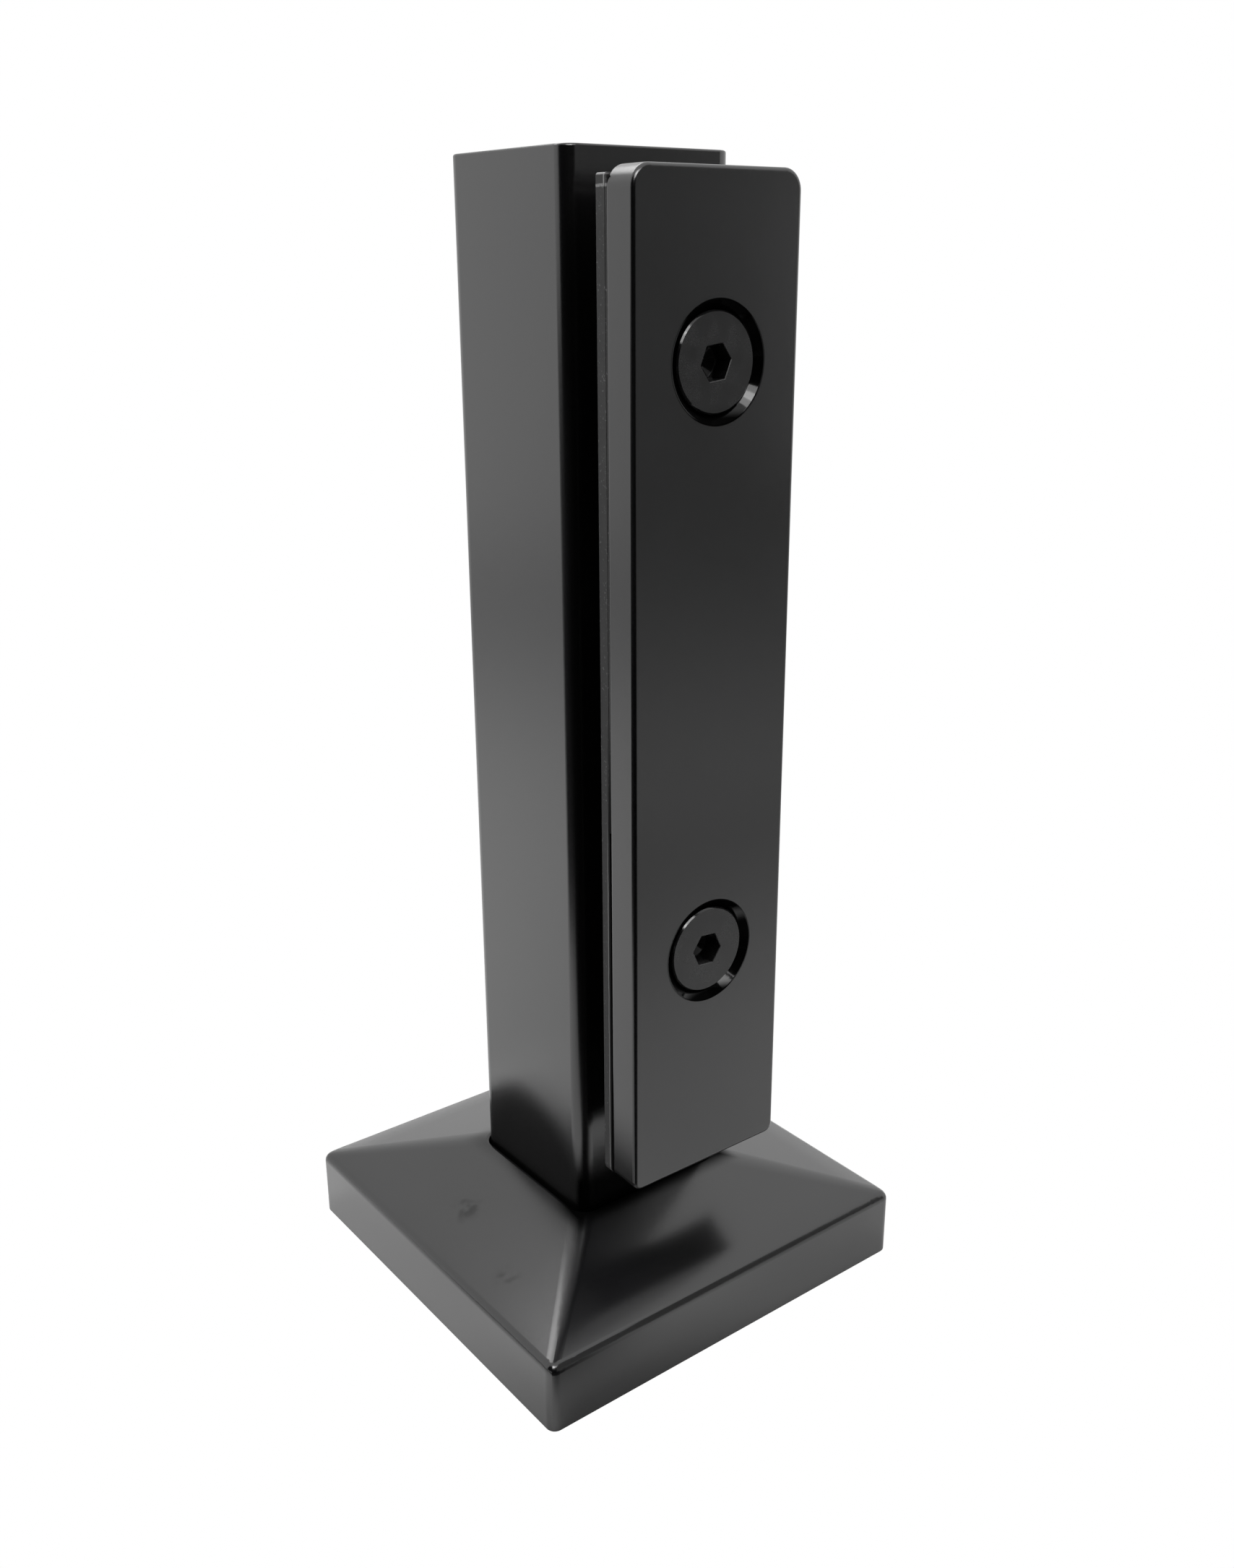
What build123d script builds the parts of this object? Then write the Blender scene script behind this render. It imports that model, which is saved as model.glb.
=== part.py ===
"""Glass railing clamp: a square deck post with a screwed clamp plate and a base cover.

Millimetres. +Z is up, the deck is at Z = 0, and the origin is under the middle of the post.
The clamp plate runs across X and faces -Y, so the glass stands between it and the post.
"""

import os
from math import atan, cos, isclose, radians, sqrt, tan

from build123d import *

# Post: a square tube, welded to its base plate and plugged at the top
post_side = 40.0
post_wall = 3.0
post_corner_r = 3.4
post_inner_r = 1.0
post_top_round = 0.5
cap_thickness = 4.0

# Base cover: a sheet metal shell that slides on the post
cover_side = 100.0
cover_wall = 1.2
cover_skirt = 16.0
cover_height = 24.2
cover_corner_r = 2.2
cover_hip_r = 4.4
cover_fold_r = 2.0
cover_rim_round = 0.4
cover_hole_round = 0.8
cover_hole_gap = 0.3

# Base plate and its weld
plate_margin = 3.8
base_thickness = 10.0
base_corner_r = 8.0
base_edge_chamfer = 0.8
anchor_hole_r = 5.5
anchor_offset = 12.0
weld_leg = 5.0

# Clamp plate: its foot stands clear of the cover, its head stops short of the post's top
clamp_foot_gap = 15.8
clamp_length = 204.0
clamp_drop = 4.0
clamp_thickness = 8.0
clamp_top_r = 4.0
clamp_foot_r = 2.2
clamp_edge_round = 0.9

# Glass slot and gasket
glass_gap = 9.0
glass_least = 6.0
gasket_thickness = 2.5
gasket_top_cut = 1.4
gasket_top_r = 0.6
gasket_foot_r = 2.2

# Screws: M10, flat 90 degree countersunk heads, hexagon sockets
shank_r = 5.0
head_r = 9.35
head_recess = 0.7
head_edge = 0.3
head_angle = 90.0
seat_gap = 0.1
countersink_r = 11.15
countersink_rim_round = 0.2
shank_clearance = 0.3
socket_across_flats = 6.45
socket_depth = 4.2
socket_mouth = 0.12
socket_drill_angle = 120.0
tip_chamfer = 1.2
tip_past_nut = 10.2
upper_screw_from_top = 33.75
lower_screw_from_foot = 51.25
upper_socket_turn = 7.0
lower_socket_turn = -5.0

# Weld nuts behind the front wall, and the sleeves that keep the screws off the glass
nut_across_flats = 17.0
nut_length = 8.0
nut_corner_chamfer = 1.0
thread_clearance = 0.05
sleeve_outer_r = 7.0
sleeve_clearance = 0.3
sleeve_relief = 0.3
sleeve_chamfer = 0.5
gasket_hole_gap = 0.2

# Heights
clamp_foot = cover_height + clamp_foot_gap
clamp_top = clamp_foot + clamp_length
post_top = clamp_top + clamp_drop
upper_screw_z = clamp_top - upper_screw_from_top
lower_screw_z = clamp_foot + lower_screw_from_foot

# Distances out from the post's axis towards the clamp, which is along -Y
post_face = post_side / 2
wall_back = post_face - post_wall
nut_back = wall_back - nut_length
gasket_face = post_face + glass_gap
clamp_back = gasket_face + gasket_thickness
clamp_front = clamp_back + clamp_thickness
head_face = clamp_front - head_recess
tip_end = nut_back - tip_past_nut

# Sizes that follow from the ones above
post_inner_side = post_side - 2 * post_wall
cover_hole_side = post_side + 2 * cover_hole_gap
cover_hole_r = post_corner_r + cover_hole_gap
cover_slope = atan((cover_height - cover_skirt) / ((cover_side - cover_hole_side) / 2))
base_side = cover_side - 2 * cover_wall - 2 * plate_margin
anchor_spacing = post_side + 2 * anchor_offset
sleeve_length = gasket_thickness + glass_least - sleeve_relief

os.makedirs("parts", exist_ok=True)


# Post tube: rounded square section, with one clearance hole for each screw in its front wall
with BuildPart() as post_tube:
    with BuildSketch(Plane.XY.offset(base_thickness)):
        RectangleRounded(post_side, post_side, post_corner_r)
        RectangleRounded(post_inner_side, post_inner_side, post_inner_r, mode=Mode.SUBTRACT)
    extrude(amount=post_top - base_thickness)
    fillet(post_tube.faces().sort_by(Axis.Z)[-1].outer_wire().edges(), post_top_round)
    with Locations(Plane.XZ.offset(post_face)):
        with Locations((0, upper_screw_z), (0, lower_screw_z)):
            Hole(shank_r + 2 * shank_clearance, depth=post_side / 2)
post_tube.part.label = "post_tube"
export_step(post_tube.part, "parts/post_tube.step")


# Post cap: a plug that fills the mouth of the tube, flush with its end
with BuildPart() as post_cap:
    with BuildSketch(Plane.XY.offset(post_top - cap_thickness)):
        RectangleRounded(post_inner_side, post_inner_side, post_inner_r)
    extrude(amount=cap_thickness)
post_cap.part.label = "post_cap"
export_step(post_cap.part, "parts/post_cap.step")


# Base plate: under the cover, with a hole for a deck anchor near each corner
with BuildPart() as base_plate:
    with BuildSketch():
        RectangleRounded(base_side, base_side, base_corner_r)
    extrude(amount=base_thickness)
    chamfer(base_plate.faces().sort_by(Axis.Z)[-1].edges(), base_edge_chamfer)
    with Locations(Plane.XY.offset(base_thickness)):
        with GridLocations(anchor_spacing, anchor_spacing, 2, 2):
            Hole(anchor_hole_r)
base_plate.part.label = "base_plate"
export_step(base_plate.part, "parts/base_plate.step")


# Foot weld: a bead of triangular section round the foot of the tube
with BuildPart() as foot_weld:
    with BuildSketch(Plane.XY.offset(base_thickness)):
        RectangleRounded(post_side + 2 * weld_leg, post_side + 2 * weld_leg, post_corner_r + weld_leg)
    with BuildSketch(Plane.XY.offset(base_thickness + weld_leg)):
        RectangleRounded(post_side, post_side, post_corner_r)
    loft()
    with BuildSketch(Plane.XY.offset(base_thickness)):
        RectangleRounded(post_side, post_side, post_corner_r)
    extrude(amount=weld_leg, mode=Mode.SUBTRACT)
foot_weld.part.label = "foot_weld"
export_step(foot_weld.part, "parts/foot_weld.step")


def cover_form(inset):
    """The cover's closed outer form, or the same form moved inwards by a wall of that thickness."""
    side = cover_side - 2 * inset
    drop = inset / cos(cover_slope)
    skirt = cover_skirt + inset * tan(cover_slope) - drop
    with BuildPart() as form:
        with BuildSketch():
            RectangleRounded(side, side, cover_corner_r - inset)
        extrude(amount=skirt)
        with BuildSketch(Plane.XY.offset(skirt)):
            RectangleRounded(side, side, cover_corner_r - inset)
        with BuildSketch(Plane.XY.offset(cover_height - drop)):
            RectangleRounded(cover_hole_side, cover_hole_side, cover_hip_r)
        loft()
        fillet(form.edges().filter_by_position(Axis.Z, skirt, skirt), cover_fold_r - inset)
    return form.part


# Base cover: upright skirt and four low slopes with soft hips, open below and round the post
cover_outside = cover_form(0.0)
cover_inside = cover_form(cover_wall)
with BuildPart() as base_cover:
    add(cover_outside)
    fillet(base_cover.faces().sort_by(Axis.Z)[0].edges(), cover_rim_round)
    add(cover_inside, mode=Mode.SUBTRACT)
    with BuildSketch():
        RectangleRounded(cover_hole_side, cover_hole_side, cover_hole_r)
    extrude(amount=cover_height, mode=Mode.SUBTRACT)
    hole_rim = base_cover.edges().filter_by_position(Axis.Z, cover_height - cover_wall / 3, cover_height)
    fillet(hole_rim, cover_hole_round)
base_cover.part.label = "base_cover"
export_step(base_cover.part, "parts/base_cover.step")


# Clamp plate: thick flat bar with rounded corners and edges, countersunk for the screws
with BuildPart() as clamp_plate:
    with BuildSketch(Plane.XZ.offset(clamp_back)) as clamp_outline:
        with Locations((0, (clamp_foot + clamp_top) / 2)):
            Rectangle(post_side, clamp_length)
        fillet(clamp_outline.vertices().group_by(Axis.Y)[-1], clamp_top_r)
        fillet(clamp_outline.vertices().group_by(Axis.Y)[0], clamp_foot_r)
    extrude(amount=clamp_thickness)
    front_and_back = clamp_plate.faces().filter_by(Axis.Y)
    fillet(front_and_back.edges(), clamp_edge_round)
    with Locations(Plane.XZ.offset(clamp_front)):
        with Locations((0, upper_screw_z), (0, lower_screw_z)):
            CounterSinkHole(shank_r + shank_clearance, countersink_r, counter_sink_angle=head_angle)
    rims = clamp_plate.edges().filter_by(GeomType.CIRCLE)
    fillet(rims.filter_by(lambda rim: isclose(rim.radius, countersink_r)), countersink_rim_round)
clamp_plate.part.label = "clamp_plate"
export_step(clamp_plate.part, "parts/clamp_plate.step")


# Clamp gasket: a strip cut to the plate, a little short at the top, with its foot corners trimmed
gasket_top = clamp_top - gasket_top_cut
with BuildPart() as clamp_gasket:
    with BuildSketch(Plane.XZ.offset(gasket_face)) as gasket_outline:
        with Locations((0, (clamp_foot + gasket_top) / 2)):
            Rectangle(post_side, gasket_top - clamp_foot)
        fillet(gasket_outline.vertices().group_by(Axis.Y)[-1], gasket_top_r)
        fillet(gasket_outline.vertices().group_by(Axis.Y)[0], gasket_foot_r)
        with Locations((0, upper_screw_z), (0, lower_screw_z)):
            Circle(sleeve_outer_r + gasket_hole_gap, mode=Mode.SUBTRACT)
    extrude(amount=gasket_thickness)
clamp_gasket.part.label = "clamp_gasket"
export_step(clamp_gasket.part, "parts/clamp_gasket.step")


def countersunk_screw(height, socket_turn):
    """Flat countersunk socket screw along Y: its cone lies in the clamp plate, its tip in the post."""
    slope = tan(radians(head_angle / 2))
    cone_gap = seat_gap / cos(radians(head_angle / 2))
    rim_depth = (countersink_r - head_r - cone_gap) / slope
    cone_start = -clamp_front + rim_depth
    cone_end = cone_start + (head_r - shank_r) / slope
    socket_floor = -head_face + socket_depth
    drill_r = socket_across_flats / 2
    drill_tip = socket_floor + drill_r / tan(radians(socket_drill_angle / 2))
    axis = Axis((0, 0, height), (0, 1, 0))
    with BuildPart() as screw:
        with BuildSketch(Plane.XY.offset(height)):
            with BuildLine():
                Polyline(
                    (0, -head_face),
                    (head_r - head_edge, -head_face),
                    (head_r, -head_face + head_edge),
                    (head_r, cone_start),
                    (shank_r, cone_end),
                    (shank_r, -tip_end - tip_chamfer),
                    (shank_r - tip_chamfer, -tip_end),
                    (0, -tip_end),
                    close=True,
                )
            make_face()
        revolve(axis=axis)
        with BuildSketch(Plane.XZ.offset(head_face)):
            with Locations((0, height)):
                RegularPolygon(drill_r, 6, major_radius=False, rotation=socket_turn)
        extrude(amount=-socket_depth, mode=Mode.SUBTRACT)
        mouth = screw.faces().sort_by(Axis.Y)[0].inner_wires()[0]
        chamfer(mouth.edges(), socket_mouth)
        with BuildSketch(Plane.XY.offset(height)):
            with BuildLine():
                Polyline((0, socket_floor), (drill_r, socket_floor), (0, drill_tip), close=True)
            make_face()
        revolve(axis=axis, mode=Mode.SUBTRACT)
    return screw.part


def weld_nut(height):
    """Hexagon nut welded to the back of the post's front wall, with its free corners chamfered."""
    corner_r = nut_across_flats / sqrt(3)
    with BuildPart() as nut:
        with BuildSketch(Plane.XZ.offset(nut_back)):
            with Locations((0, height)):
                RegularPolygon(nut_across_flats / 2, 6, major_radius=False)
                Circle(shank_r + thread_clearance, mode=Mode.SUBTRACT)
        extrude(amount=nut_length)
        with BuildSketch(Plane.XY.offset(height)):
            with BuildLine():
                Polyline(
                    (0, -wall_back),
                    (corner_r, -wall_back),
                    (corner_r, -nut_back - nut_corner_chamfer / 2),
                    (corner_r - nut_corner_chamfer, -nut_back),
                    (0, -nut_back),
                    close=True,
                )
            make_face()
        revolve(axis=Axis((0, 0, height), (0, 1, 0)), mode=Mode.INTERSECT)
    return nut.part


def screw_sleeve(height):
    """Plastic sleeve on a screw, from the back of the clamp plate through the gasket into the slot."""
    with BuildPart() as sleeve:
        with BuildSketch(Plane.XZ.offset(clamp_back)):
            with Locations((0, height)):
                Circle(sleeve_outer_r)
                Circle(shank_r + sleeve_clearance, mode=Mode.SUBTRACT)
        extrude(amount=-sleeve_length)
        free_end = sleeve.faces().sort_by(Axis.Y)[-1]
        chamfer(free_end.outer_wire().edges(), sleeve_chamfer)
    return sleeve.part


# Screws, nuts and sleeves: one set near each end of the clamp plate
for place, height, socket_turn in (
    ("upper", upper_screw_z, upper_socket_turn),
    ("lower", lower_screw_z, lower_socket_turn),
):
    screw = countersunk_screw(height, socket_turn)
    screw.label = f"screw_{place}"
    export_step(screw, f"parts/screw_{place}.step")

    nut = weld_nut(height)
    nut.label = f"weld_nut_{place}"
    export_step(nut, f"parts/weld_nut_{place}.step")

    sleeve = screw_sleeve(height)
    sleeve.label = f"sleeve_{place}"
    export_step(sleeve, f"parts/sleeve_{place}.step")
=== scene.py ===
"""Looks of the glass railing clamp: finishes for its pieces, and a plain studio round it."""

import math

import bpy
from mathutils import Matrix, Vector


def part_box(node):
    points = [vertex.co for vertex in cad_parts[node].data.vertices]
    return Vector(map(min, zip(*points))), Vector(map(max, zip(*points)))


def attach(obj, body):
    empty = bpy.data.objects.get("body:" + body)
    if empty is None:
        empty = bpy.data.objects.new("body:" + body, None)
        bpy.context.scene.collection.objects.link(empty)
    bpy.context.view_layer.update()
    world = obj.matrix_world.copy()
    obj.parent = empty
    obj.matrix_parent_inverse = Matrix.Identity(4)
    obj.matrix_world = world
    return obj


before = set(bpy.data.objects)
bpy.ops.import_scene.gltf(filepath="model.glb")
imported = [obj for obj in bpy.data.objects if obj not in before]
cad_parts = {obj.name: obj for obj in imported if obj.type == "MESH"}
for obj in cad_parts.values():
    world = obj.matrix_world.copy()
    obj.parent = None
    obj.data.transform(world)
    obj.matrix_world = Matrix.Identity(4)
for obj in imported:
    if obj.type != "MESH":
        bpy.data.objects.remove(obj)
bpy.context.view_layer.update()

MM = 0.001
WHITE = 1.0
BLACK = 0.0


class Signal:
    """A socket that carries numbers. Arithmetic on it adds Math nodes to its finish."""

    def __init__(self, finish, socket):
        self.finish = finish
        self.socket = socket

    def math(self, operation, left, right):
        return self.finish.add("ShaderNodeMath", {"operation": operation}, {0: left, 1: right})

    def __add__(self, other):
        return self.math("ADD", self, other)

    __radd__ = __add__

    def __mul__(self, other):
        return self.math("MULTIPLY", self, other)

    __rmul__ = __mul__

    def __sub__(self, other):
        return self.math("SUBTRACT", self, other)

    def __rsub__(self, other):
        return self.math("SUBTRACT", other, self)

    def __gt__(self, other):
        return self.math("GREATER_THAN", self, other)

    def __lt__(self, other):
        return self.math("LESS_THAN", self, other)


class Finish:
    """One material or world: its node tree, and the nodes that its finish is made of."""

    def __init__(self, owner, output_kind):
        self.owner = owner
        owner.use_nodes = True
        self.tree = owner.node_tree
        self.tree.nodes.clear()
        self.output = self.tree.nodes.new(output_kind)

    def add(self, kind, settings, sockets, output=0):
        """Adds a node of a kind: its settings first, then the values or links of its sockets."""
        node = self.tree.nodes.new(kind)
        for name, value in settings.items():
            setattr(node, name, value)
        for name, value in sockets.items():
            if isinstance(value, Signal):
                self.tree.links.new(value.socket, node.inputs[name])
            else:
                node.inputs[name].default_value = value
        return Signal(self, node.outputs[output])

    def surface(self, shader):
        """Closes the finish with its shader, and hands back the material or world."""
        self.tree.links.new(shader.socket, self.output.inputs["Surface"])
        return self.owner

    def place(self):
        """Object coordinates, in metres."""
        return self.add("ShaderNodeTexCoord", {}, {}, "Object")

    def along(self, place, axis):
        """One coordinate of a place."""
        return self.add("ShaderNodeSeparateXYZ", {}, {"Vector": place}, axis)

    def size_of(self, signal):
        """A signal without its sign."""
        return self.add("ShaderNodeMath", {"operation": "ABSOLUTE"}, {0: signal})

    def larger(self, one, other):
        """The larger of two signals, place by place."""
        return self.add("ShaderNodeMath", {"operation": "MAXIMUM"}, {0: one, 1: other})

    def out_from_middle(self, place):
        """Distance out from the axis of the post, the same all along a square round it."""
        out_x = self.size_of(self.along(place, "X"))
        out_y = self.size_of(self.along(place, "Y"))
        return self.larger(out_x, out_y)

    def vectors(self, operation, left, right, output=0):
        """Arithmetic on two places or directions."""
        settings = {"operation": operation}
        return self.add("ShaderNodeVectorMath", settings, {0: left, 1: right}, output)

    def distance(self, place, spot):
        """Distance of a place from a fixed spot."""
        return self.vectors("DISTANCE", place, spot, "Value")

    def length_of(self, vector):
        """Length of a direction, or a place's distance from the origin."""
        return self.add("ShaderNodeVectorMath", {"operation": "LENGTH"}, {0: vector}, "Value")

    def noise(self, place, size, detail=2.0, roughness=0.5):
        """Soft random mottling whose patches are about size across."""
        sockets = {"Vector": place, "Scale": 1.0 / size, "Detail": detail, "Roughness": roughness}
        return self.add("ShaderNodeTexNoise", {}, sockets, "Fac")

    def ramp(self, signal, start, end):
        """Rises softly from 0 to 1 as the signal goes from start to end."""
        settings = {"interpolation_type": "SMOOTHSTEP", "clamp": True}
        sockets = {"Value": signal, "From Min": start, "From Max": end}
        return self.add("ShaderNodeMapRange", settings, sockets)

    def blend(self, mask, low, high):
        """Mixes two colours by a mask."""
        settings = {"data_type": "RGBA"}
        return self.add("ShaderNodeMix", settings, {0: mask, 6: low, 7: high}, 2)

    def bump(self, height, depth, normal=None):
        """Turns a height signal into a normal, with full height worth depth in metres."""
        sockets = {"Height": height, "Distance": depth, "Strength": 1.0}
        if normal is not None:
            sockets["Normal"] = normal
        return self.add("ShaderNodeBump", {}, sockets, "Normal")

    def principled(self, sockets):
        """A surface with gloss."""
        return self.add("ShaderNodeBsdfPrincipled", {}, sockets)

    def diffuse(self, colour):
        """A fully matt surface."""
        return self.add("ShaderNodeBsdfDiffuse", {}, {"Color": colour})

    def mix_shaders(self, mask, first, second):
        """One shader where the mask is 0, another where it is 1."""
        return self.add("ShaderNodeMixShader", {}, {0: mask, 1: first, 2: second})

    def ray(self, kind):
        """1 for rays of that kind, and 0 for all others."""
        return self.add("ShaderNodeLightPath", {}, {}, kind)


def new_finish(name):
    return Finish(bpy.data.materials.new(name), "ShaderNodeOutputMaterial")


def grey(level, tint=0.0):
    """A neutral colour, with an optional touch of blue."""
    return (level, level, level + tint, 1.0)


def dust(finish, place, spacing, size, share):
    """Mask of small specks, in that share of the cells of a grid of that spacing."""
    grid = {"Vector": place, "Scale": 1.0 / spacing}
    cells = finish.add("ShaderNodeTexVoronoi", {}, grid, "Distance")
    pick = finish.add("ShaderNodeTexVoronoi", {}, grid, "Color")
    chosen = finish.add("ShaderNodeSeparateColor", {}, {"Color": pick}, "Red") < share
    return (cells < size / spacing) * chosen


def from_screws(finish, place):
    """Distance out from the axis of the nearer screw."""
    square_to_axis = (1.0, 0.0, 1.0)
    reach = []
    for node in ("screw_upper", "screw_lower"):
        low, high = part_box(node)
        offset = finish.vectors("SUBTRACT", place, (low + high) / 2)
        reach.append(finish.length_of(finish.vectors("MULTIPLY", offset, square_to_axis)))
    return finish.add("ShaderNodeMath", {"operation": "MINIMUM"}, {0: reach[0], 1: reach[1]})


def over_screw(finish, place):
    """Height above the axis of the nearer screw, negative below it."""
    upper, lower = ((sum(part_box(node), Vector()) / 2).z for node in ("screw_upper", "screw_lower"))
    from_middle = finish.along(place, "Z") - (upper + lower) / 2
    side_of_middle = (from_middle > 0.0) * 2.0 - 1.0
    return from_middle - side_of_middle * ((upper - lower) / 2)


def countersinks(finish, place):
    """Mask of the turned countersinks, which are smoother than the rest of the plate."""
    outside, inside = 11.5 * MM, 11.3 * MM
    return finish.ramp(from_screws(finish, place), outside, inside)


def plate_painted_shade(finish, place):
    """How much painted shade the plate's coat carries: over the countersinks, more above and below
    the screws, and on the sides, more at their foot.
    """
    ring_shade_all_round, more_ring_shade_up_and_down = 0.6, 0.39
    side_shade, more_side_shade_at_foot = 0.1, 0.5
    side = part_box("clamp_plate")[1].x
    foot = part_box("clamp_plate")[0].z
    height = over_screw(finish, place)
    # Painted shade over the countersinks, darkest above and below the screws.
    up = finish.ramp(height, 6 * MM, 8.5 * MM)
    down = finish.ramp(height, -8.4 * MM, -10.2 * MM)
    ring_shade = (up + down) * more_ring_shade_up_and_down + ring_shade_all_round
    # Painted shade on the sides, more towards their foot.
    out_x = finish.size_of(finish.along(place, "X"))
    sides = finish.ramp(out_x, side - 0.2 * MM, side - 0.05 * MM)
    low_down = finish.ramp(finish.along(place, "Z"), foot + 20 * MM, foot)
    return countersinks(finish, place) * ring_shade + sides * (low_down * more_side_shade_at_foot + side_shade)


def sheet_bend(finish, place):
    """Height of the cover's sheet, in metres, where it starts to bend down before the fold."""
    bend_width, half_curvature = 8 * MM, 7.0
    half_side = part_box("base_cover")[1].x
    past = finish.larger(finish.out_from_middle(place) - (half_side - bend_width), 0.0)
    return past * past * -half_curvature


def cover_smudges_and_painted_shade(finish, place):
    """Where the cover's coat turns matt black: painted shade by the post, most under the plate, two
    smudges, and a little painted shade on the left slope.
    """
    in_the_open, in_smudges, shade_on_left_slope = 0.25, 0.3, 0.12
    smudges_at = (
        ((-36.5 * MM, 3.0 * MM, 19.7 * MM), 5.5 * MM),
        ((-41.5 * MM, -21.5 * MM, 18.4 * MM), 4.5 * MM),
    )
    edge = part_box("post_tube")[1].x
    x, y, z = (finish.along(place, axis) for axis in "XYZ")
    # Painted shade in the crease where the cover meets the post.
    shade_by_post = finish.ramp(finish.out_from_middle(place), edge + 5 * MM, edge + 0.3 * MM)
    under_plate = finish.ramp(x - y, -12 * MM, -3 * MM)
    shade_by_post = shade_by_post * (under_plate * (1.0 - in_the_open) + in_the_open)
    ragged = finish.ramp(finish.noise(place, 3 * MM, detail=4.0), 0.42, 0.66)
    smudges = 0.0
    for spot, size in smudges_at:
        smudges = finish.ramp(finish.distance(place, spot), size, size * 0.2) + smudges
    # Painted shade on the left slope, below the post's height range.
    left_slope_shade = finish.ramp(x + finish.size_of(y), 2 * MM, -2 * MM)
    left_slope_shade = left_slope_shade * finish.ramp(z, 14.5 * MM, 16.5 * MM)
    return shade_by_post + smudges * ragged * in_smudges + left_slope_shade * shade_on_left_slope


def post_painted_shade(finish, place):
    """Where the post's coat turns matt black: painted shade by the cover, a painted dark reflection
    in a dome above that on its left, and painted shade at the front's foot and in the slot.
    """
    shade_by_cover, in_reflection_dome, shade_in_slot, shade_at_front_foot = 0.9, 0.65, 0.6, 0.85
    dome_height, dome_half_width = 23 * MM, 24 * MM
    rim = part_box("base_cover")[1].z
    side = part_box("post_tube")[1].x
    plate_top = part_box("clamp_plate")[1].z
    x, y, z = (finish.along(place, axis) for axis in "XYZ")
    height = z - rim
    # Painted shade in the crease by the cover.
    joint_shade = finish.ramp(height, 4 * MM, -1 * MM)
    rise = height * (1.0 / dome_height)
    reach = y * (1.0 / dome_half_width)
    # A painted dark reflection of the slope, dome-shaped, on the left face.
    left = finish.ramp(x, 1.5 * MM - side, 0.3 * MM - side)
    reflection_dome = left * finish.ramp(rise * rise + reach * reach, 1.2, 0.5)
    # Painted shade on the front face, inside the slot and at its foot.
    front = finish.ramp(y, 2.4 * MM - side, 0.8 * MM - side)
    slot = front * finish.ramp(z, plate_top, plate_top - 16 * MM)
    slot = slot * finish.ramp(height, 15 * MM, 50 * MM)
    front_foot_shade = front * finish.ramp(height, 13 * MM, 6 * MM)
    further = reflection_dome * in_reflection_dome + slot * shade_in_slot + front_foot_shade * shade_at_front_foot
    return finish.larger(joint_shade * shade_by_cover, further)


def satin_black_coat(name, tone, gloss, peel_depth, bend=None, painted_shade_and_smudges=None, smooth=None):
    """Sprayed satin black: faint orange peel, cloudy gloss, and a little dust.

    What bends it, smooths it, or paints shade onto it as a matt near-black (and on the cover two
    smudges) is a function of the finish and the place.
    """
    deep, faded = grey(tone * 0.9), grey(tone * 1.1, 0.0006)
    dusty, shade_and_smudge_black = grey(0.3), grey(0.0015)
    dust_cover, dust_roughness, smoothing = 0.7, 0.4, 0.65
    finish = new_finish(name)
    place = finish.place()
    clouds = finish.noise(place, 30 * MM, detail=3.0)
    grain = finish.noise(place, 0.35 * MM, detail=1.0)
    peel = finish.noise(place, 1.6 * MM, detail=2.0)
    specks = dust(finish, place, spacing=9 * MM, size=0.16 * MM, share=0.22)
    colour = finish.blend(finish.ramp(clouds, 0.3, 0.7), deep, faded)
    colour = finish.blend(specks * dust_cover, colour, dusty)
    roughness = gloss + (clouds - 0.5) * 0.08 + (grain - 0.5) * 0.05 + specks * dust_roughness
    if smooth:
        roughness = roughness * (1.0 - smooth(finish, place) * smoothing)
    form = finish.bump(bend(finish, place), 1.0) if bend else None
    shader = finish.principled(
        {
            "Base Color": colour,
            "Roughness": roughness,
            "IOR": 1.8,
            "Normal": finish.bump(peel + grain * 0.08, peel_depth, form),
        }
    )
    # Painted shade: where its mask is 1 the coat gives way to matt near-black, which stands in for
    # shade and dark reflections; on the cover it also makes two smudges.
    if painted_shade_and_smudges:
        shader = finish.mix_shaders(painted_shade_and_smudges(finish, place), shader, finish.diffuse(shade_and_smudge_black))
    return finish.surface(shader)


def thread(finish, place, reach):
    """Ridges along the screws' shanks that rise by half the thread's pitch, in metres."""
    half_pitch, head_depth, shank_reach = 0.75 * MM, 8 * MM, 5.2 * MM
    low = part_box("screw_upper")[0]
    depth = finish.along(place, "Y") - low.y
    ridges = finish.add("ShaderNodeMath", {"operation": "PINGPONG"}, {0: depth, 1: half_pitch})
    return ridges * (reach < shank_reach) * (depth > head_depth)


def screw_black(name):
    """Blackened screw steel: a satin face, and a smoother socket, rim and threaded shank."""
    dark, pale = grey(0.012), grey(0.02, 0.0005)
    off_face, ridge_share = 0.35, 0.8
    finish = new_finish(name)
    place = finish.place()
    clouds = finish.noise(place, 4 * MM, detail=3.0)
    grain = finish.noise(place, 0.25 * MM, detail=2.0)
    reach = from_screws(finish, place)
    face = finish.ramp(reach, 3.0 * MM, 3.3 * MM) * finish.ramp(reach, 9.1 * MM, 9.0 * MM)
    roughness = 0.26 + (clouds - 0.5) * 0.1 + (grain - 0.5) * 0.06
    turned = finish.bump(thread(finish, place, reach), ridge_share)
    shader = finish.principled(
        {
            "Base Color": finish.blend(finish.ramp(clouds, 0.35, 0.7), dark, pale),
            "Roughness": roughness * (off_face + face * (1.0 - off_face)),
            "IOR": 1.6,
            "Normal": finish.bump(grain, 0.004 * MM, turned),
        }
    )
    return finish.surface(shader)


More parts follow.
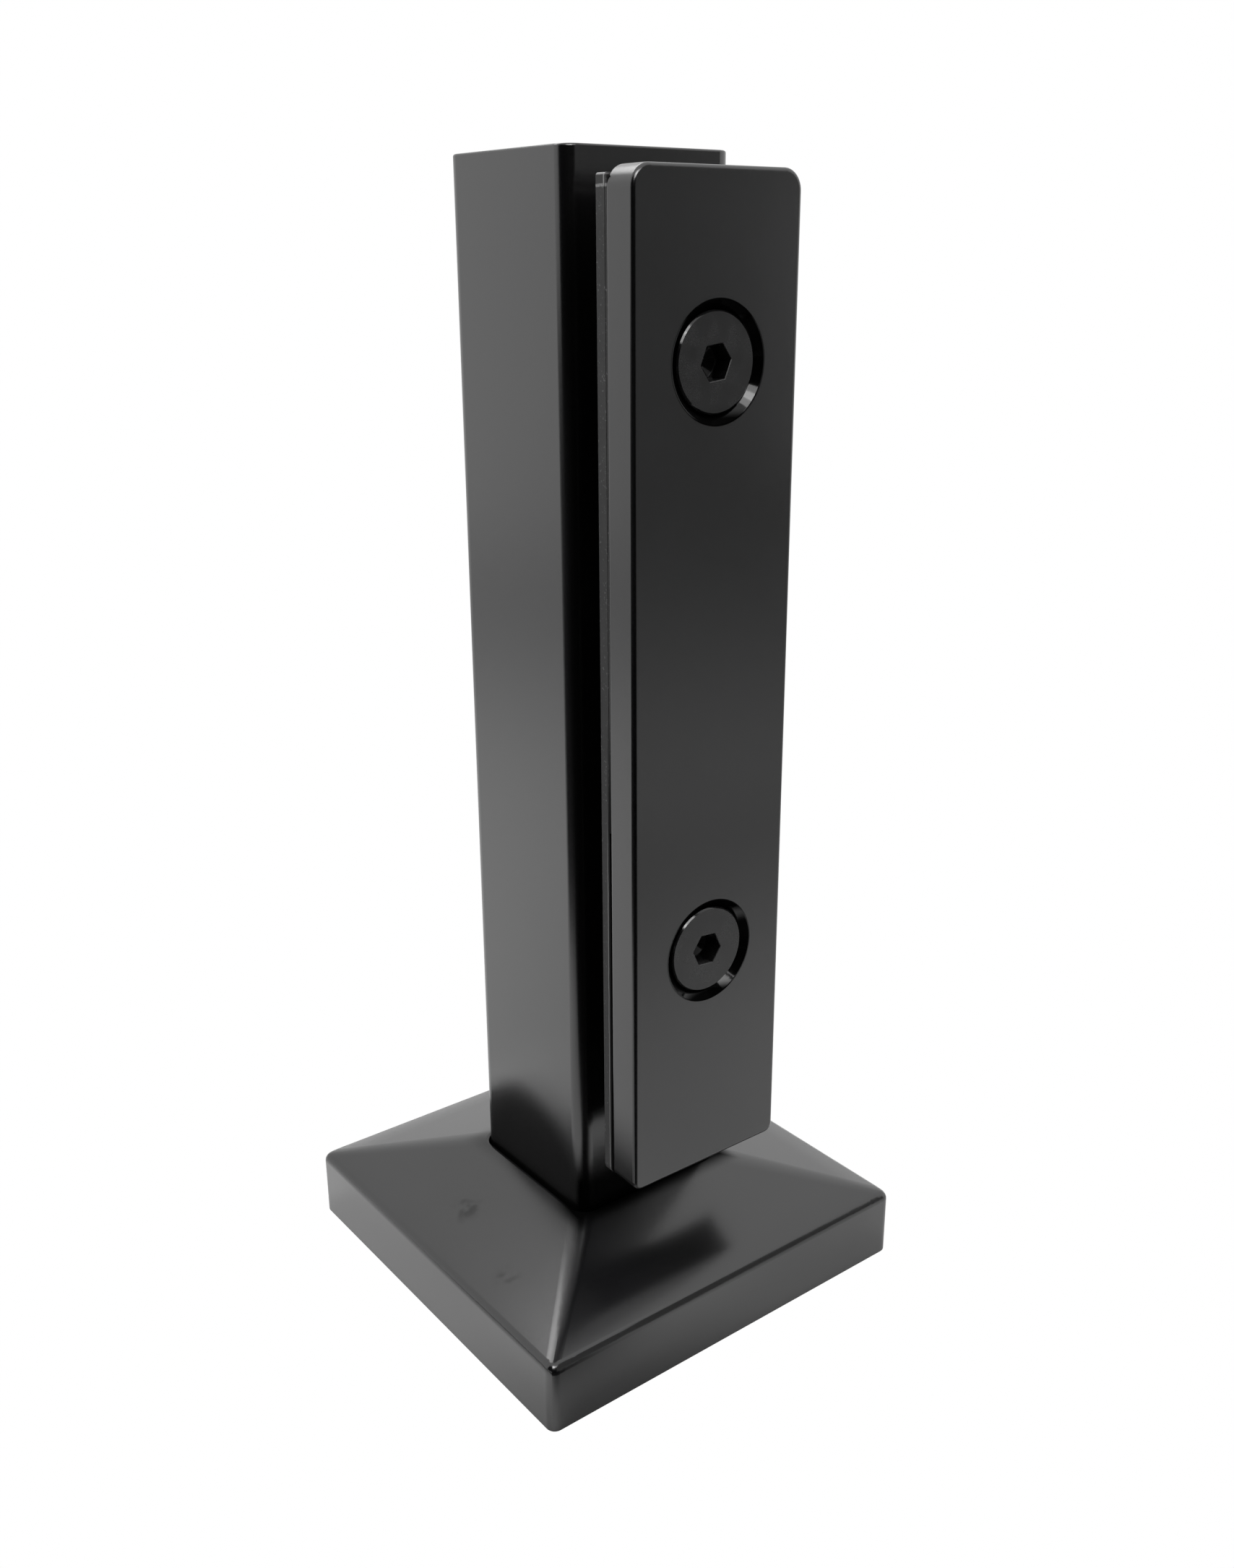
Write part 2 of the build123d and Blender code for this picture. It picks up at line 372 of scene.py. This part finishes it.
def gasket_rubber(name):
    """Dark rubber with rough cut sides, pale specks, a nick at the top whose outline and the top
    edge are painted lighter as a highlight, painted shade in a peeling gap by the plate low down,
    and a line of adhesive.
    """
    dark, pale, speckle, glue = grey(0.035), grey(0.065), grey(0.2), grey(0.3)
    gap_shade_colour, moulded, edge_highlight_colour = grey(0.002), grey(0.006), grey(0.4)
    speckle_cover, glue_cover, gap_shade_cover = 0.5, 0.6, 0.95
    plate_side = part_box("clamp_gasket")[0].y
    finish = new_finish(name)
    place = finish.place()
    depth = finish.along(place, "Y") - plate_side
    height = finish.along(place, "Z")
    grain = finish.noise(place, 0.3 * MM, detail=3.0, roughness=0.7)
    clouds = finish.noise(place, 6 * MM, detail=3.0)
    specks = finish.ramp(finish.noise(place, 0.45 * MM, detail=2.0), 0.64, 0.72)
    wander = (finish.noise(place, 5 * MM, detail=4.0) - 0.5) * 0.35 * MM

    # Painted shade in the peeling gap beside the plate, low down.
    peeling_gap_shade = finish.ramp(depth + wander * 0.4, 0.5 * MM, 0.4 * MM)
    peeling_gap_shade = peeling_gap_shade * finish.ramp(height, 150 * MM, 120 * MM)
    adhesive = finish.ramp(finish.size_of(depth + wander - 0.62 * MM), 0.16 * MM, 0.05 * MM)
    adhesive = adhesive * finish.ramp(height, 128 * MM, 105 * MM)
    colour = finish.blend(clouds * 0.5 + grain * 0.5, dark, pale)
    colour = finish.blend(specks * speckle_cover, colour, speckle)
    colour = finish.blend(adhesive * glue_cover, colour, glue)
    colour = finish.blend(peeling_gap_shade * gap_shade_cover, colour, gap_shade_colour)

    low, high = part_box("clamp_gasket")
    out_x = finish.size_of(finish.along(place, "X"))
    cut_sides = finish.ramp(out_x, high.x - 0.8 * MM, high.x - 0.6 * MM)
    cut_ends = finish.ramp(height, high.z - 0.3 * MM, high.z - 0.1 * MM)
    cut_ends = cut_ends + finish.ramp(height, low.z + 2.3 * MM, low.z + 0.1 * MM)
    colour = finish.blend(finish.larger(cut_sides, cut_ends), moulded, colour)

    # A nick at the top: its outline and the top edge are painted lighter, a painted highlight of the
    # edges.
    nick_foot = high.z - 2.1 * MM
    nick_end = finish.ramp(finish.size_of(height - nick_foot + wander), 0.35 * MM, 0.15 * MM)
    nick_side = finish.ramp(depth, 0.5 * MM, 0.25 * MM) * (depth > 0.0)
    nick_side = nick_side * finish.ramp(height, nick_foot - 0.1 * MM, nick_foot + 0.2 * MM)
    top_edge_highlight = finish.ramp(height, high.z - 0.45 * MM, high.z - 0.25 * MM)
    nick_edge_highlight = finish.larger(finish.larger(nick_end, nick_side), top_edge_highlight)
    colour = finish.blend(nick_edge_highlight * grain, colour, edge_highlight_colour)
    shader = finish.principled(
        {
            "Base Color": colour,
            "Roughness": 0.85 + (grain - 0.5) * 0.2,
            "IOR": 1.3,
            "Normal": finish.bump(grain, 0.05 * MM),
        }
    )
    return finish.surface(shader)


def sleeve_plastic(name):
    """Matt black moulded plastic."""
    finish = new_finish(name)
    place = finish.place()
    grain = finish.noise(place, 0.3 * MM, detail=2.0)
    clouds = finish.noise(place, 5 * MM, detail=2.0)
    shader = finish.principled(
        {
            "Base Color": finish.blend(clouds, grey(0.02), grey(0.03)),
            "Roughness": 0.5 + (grain - 0.5) * 0.15,
            "IOR": 1.5,
            "Normal": finish.bump(grain, 0.01 * MM),
        }
    )
    return finish.surface(shader)


def plain_steel(name):
    """Bare steel of the weld nuts, dull and a little stained."""
    finish = new_finish(name)
    place = finish.place()
    stains = finish.noise(place, 5 * MM, detail=4.0)
    grain = finish.noise(place, 0.3 * MM, detail=2.0)
    shader = finish.principled(
        {
            "Base Color": finish.blend(finish.ramp(stains, 0.4, 0.7), grey(0.5), grey(0.33)),
            "Metallic": 1.0,
            "Roughness": 0.35 + stains * 0.15,
            "Normal": finish.bump(grain, 0.006 * MM),
        }
    )
    return finish.surface(shader)


def dress(finish, *nodes):
    """Puts a finish on every slot of the solids that are named."""
    for node in nodes:
        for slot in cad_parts[node].material_slots:
            slot.material = finish


coat_tone, coat_gloss, coat_peel = 0.004, 0.22, 0.006 * MM
plate_coat = satin_black_coat(
    "clamp_plate_coat", coat_tone, coat_gloss, coat_peel, painted_shade_and_smudges=plate_painted_shade, smooth=countersinks
)
post_coat = satin_black_coat("post_coat", coat_tone, coat_gloss, coat_peel, painted_shade_and_smudges=post_painted_shade)
cover_coat = satin_black_coat(
    "cover_coat", coat_tone, 0.2, coat_peel, bend=sheet_bend, painted_shade_and_smudges=cover_smudges_and_painted_shade
)
hidden_coat = satin_black_coat("base_coat", tone=0.006, gloss=0.3, peel_depth=0.02 * MM)
rubber = gasket_rubber("gasket_rubber")
dress(plate_coat, "clamp_plate")
dress(post_coat, "post_tube", "post_cap")
dress(cover_coat, "base_cover")
dress(hidden_coat, "base_plate", "foot_weld")
dress(screw_black("screw_black"), "screw_upper", "screw_lower")
dress(rubber, "clamp_gasket")
dress(sleeve_plastic("sleeve_plastic"), "sleeve_upper", "sleeve_lower")
dress(plain_steel("plain_steel"), "weld_nut_upper", "weld_nut_lower")


def rubber_bead(name, side):
    """A bead of the strip's rubber, pressed into the groove along the plate's back edge."""
    width, thickness, rounding_width = 0.7 * MM, 0.6 * MM, 0.12 * MM
    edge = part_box("clamp_plate")[1]
    foot = 120 * MM
    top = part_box("clamp_gasket")[1].z - 0.3 * MM
    centre = (side * (edge.x - 0.4 * MM), edge.y - thickness / 2, (foot + top) / 2)
    bpy.ops.object.select_all(action="DESELECT")
    bpy.ops.mesh.primitive_cube_add(size=1.0, location=centre)
    bead = bpy.context.object
    bead.name = name
    bead.scale = (width, thickness, top - foot)
    bpy.ops.object.transform_apply(location=True, rotation=True, scale=True)
    rounding = bead.modifiers.new("rounding", "BEVEL")
    rounding.width = rounding_width
    rounding.segments = 2
    bpy.ops.object.modifier_apply(modifier=rounding.name)
    bead.data.materials.append(rubber)
    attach(bead, "clamp")


LEFT, RIGHT = -1, 1
rubber_bead("rubber_bead_left", LEFT)
rubber_bead("rubber_bead_right", RIGHT)


def stage_sheet(name, size_x, size_y, centre, facing):
    """A flat stage sheet of that size, turned so that it faces a direction."""
    bpy.ops.object.select_all(action="DESELECT")
    bpy.ops.mesh.primitive_plane_add(size=1.0, location=centre)
    sheet = bpy.context.object
    sheet.name = name
    sheet.scale = (size_x, size_y, 1.0)
    sheet.rotation_mode = "QUATERNION"
    sheet.rotation_quaternion = Vector(facing).to_track_quat("Z", "Y")
    bpy.ops.object.transform_apply(location=False, rotation=True, scale=True)
    return sheet


def shaded_floor(finish, place, distance):
    """Mask of painted shade on the floor on the left front side of the object."""
    x = finish.along(place, "X")
    y = finish.along(place, "Y")
    left_side = finish.ramp((x + y) * -0.707, 0.035, 0.06)
    front_side = finish.ramp(x * -0.95 - y * 0.3, 0.02, 0.06)
    further = finish.ramp(distance, 0.17, 0.25)
    in_front = finish.ramp(y, -0.056, -0.072)
    return left_side * front_side * finish.larger(further, in_front)


def floor_finish():
    """White floor, plain background to the camera. Its matt colour, seen in reflections, is painted
    darker as shade by the near corner, beside the cover and in front.
    """
    open_level, beside_cover, at_corner, in_front_loss, shade_loss = 0.95, 0.25, 0.5, 0.52, 0.97
    finish = new_finish("white_floor")
    place = finish.place()
    distance = finish.length_of(place)
    near_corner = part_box("base_cover")[0].to_2d().to_3d()
    darkest = near_corner + Vector((14 * MM, -12 * MM, 0.0))
    out = finish.ramp(finish.out_from_middle(place), 60 * MM, 95 * MM)
    from_corner = finish.ramp(finish.distance(place, darkest), 0.0, 58 * MM)
    in_front = finish.ramp(finish.along(place, "Y"), -0.09, -0.25)
    lit = 1.0 - shaded_floor(finish, place, distance) * shade_loss
    level = open_level - out * beside_cover
    level = level * (at_corner + from_corner * (1.0 - at_corner))
    level = level * lit * (1.0 - in_front * in_front_loss)
    matt = finish.diffuse(finish.blend(level, grey(BLACK), grey(WHITE)))
    plain = finish.add("ShaderNodeEmission", {}, {"Color": grey(WHITE), "Strength": 1.0})
    mirrored = finish.ray("Is Glossy Ray") * finish.ramp(distance, 0.45, 1.2) * lit
    return finish.surface(finish.mix_shaders(finish.ray("Is Camera Ray") + mirrored, matt, plain))


def card_finish(name, level):
    """Matt card of one grey."""
    finish = new_finish(name)
    return finish.surface(finish.diffuse(grey(level)))


def soft_lamp(name, size, centre, radiance, target, mirrored):
    """A soft box aimed at a target: it lights what is matt, or shows in gloss if mirrored."""
    data = bpy.data.lights.new(name, "AREA")
    data.shape = "RECTANGLE"
    data.size, data.size_y = size
    data.energy = math.pi * data.size * data.size_y * radiance
    lamp = bpy.data.objects.new(name, data)
    bpy.context.scene.collection.objects.link(lamp)
    lamp.location = centre
    lamp.rotation_mode = "QUATERNION"
    lamp.rotation_quaternion = (Vector(target) - Vector(centre)).to_track_quat("-Z", "Y")
    lamp.visible_camera = False
    lamp.visible_glossy = mirrored
    lamp.visible_diffuse = not mirrored


def white_surroundings(strength):
    """White for whatever sees it, and of that strength as a light."""
    world = bpy.data.worlds.new("studio")
    bpy.context.scene.world = world
    finish = Finish(world, "ShaderNodeOutputWorld")
    seen = finish.ray("Is Camera Ray") + finish.ray("Is Glossy Ray")
    seen = seen + finish.ray("Is Transmission Ray")
    level = strength + (seen > 0.5) * (1.0 - strength)
    sockets = {"Color": grey(WHITE), "Strength": level}
    finish.surface(finish.add("ShaderNodeBackground", {}, sockets))


up, to_back, to_right = (0.0, 0.0, 1.0), (0.0, 1.0, 0.0), (1.0, 0.0, 0.0)
floor = stage_sheet("floor", 12.0, 12.0, (0.0, 0.0, 0.0), up)
floor.data.materials.append(floor_finish())
black_card = card_finish("black_card", 0.01)
pale_card = card_finish("pale_card", 0.49)
for name, finish, size_x, size_y, centre, facing in (
    ("front_card", pale_card, 1.0, 1.3, (0.45, -0.9, 0.65), to_back),
    ("camera_card", black_card, 0.9, 1.3, (-0.5, -0.9, 0.65), to_back),
    ("side_card", black_card, 1.3, 1.05, (-0.95, -0.375, 0.65), to_right),
    ("right_floor_card", pale_card, 0.9, 0.62, (0.5, -0.59, 0.002), up),
):
    card = stage_sheet(name, size_x, size_y, centre, facing)
    card.data.materials.append(finish)
    card.visible_camera = False

middle = (0.0, 0.0, 0.12)
top_of_plate = (0.0, -0.035, 0.24)
for name, size, centre, radiance, target, mirrored in (
    ("back_box", (0.5, 0.5), (-0.25, 0.3, 0.6), 7.2, middle, False),
    ("front_box", (0.4, 0.4), (0.35, -0.15, 0.6), 6.5, middle, False),
    ("top_box", (0.45, 0.45), (-0.38, -0.52, 0.84), 4.5, middle, True),
    ("ring_box", (0.66, 0.4), (-0.2, -0.86, 0.93), 5.5, middle, True),
    ("plate_corner_box", (0.34, 0.12), (0.0, 0.3, 0.57), 4.0, top_of_plate, True),
):
    soft_lamp(name, size, centre, radiance, target, mirrored)
white_surroundings(0.3)

camera_data = bpy.data.cameras.new("camera")
camera_data.lens = 34.285
camera_data.sensor_width = 36.0
camera_data.clip_start = 0.01
camera = bpy.data.objects.new("camera", camera_data)
bpy.context.scene.collection.objects.link(camera)
camera.location = (-0.188375, -0.25324, 0.228304)
camera.rotation_euler = (1.2329, 0.0058, -0.6571)
bpy.context.scene.camera = camera
bpy.context.scene.view_settings.view_transform = "Standard"
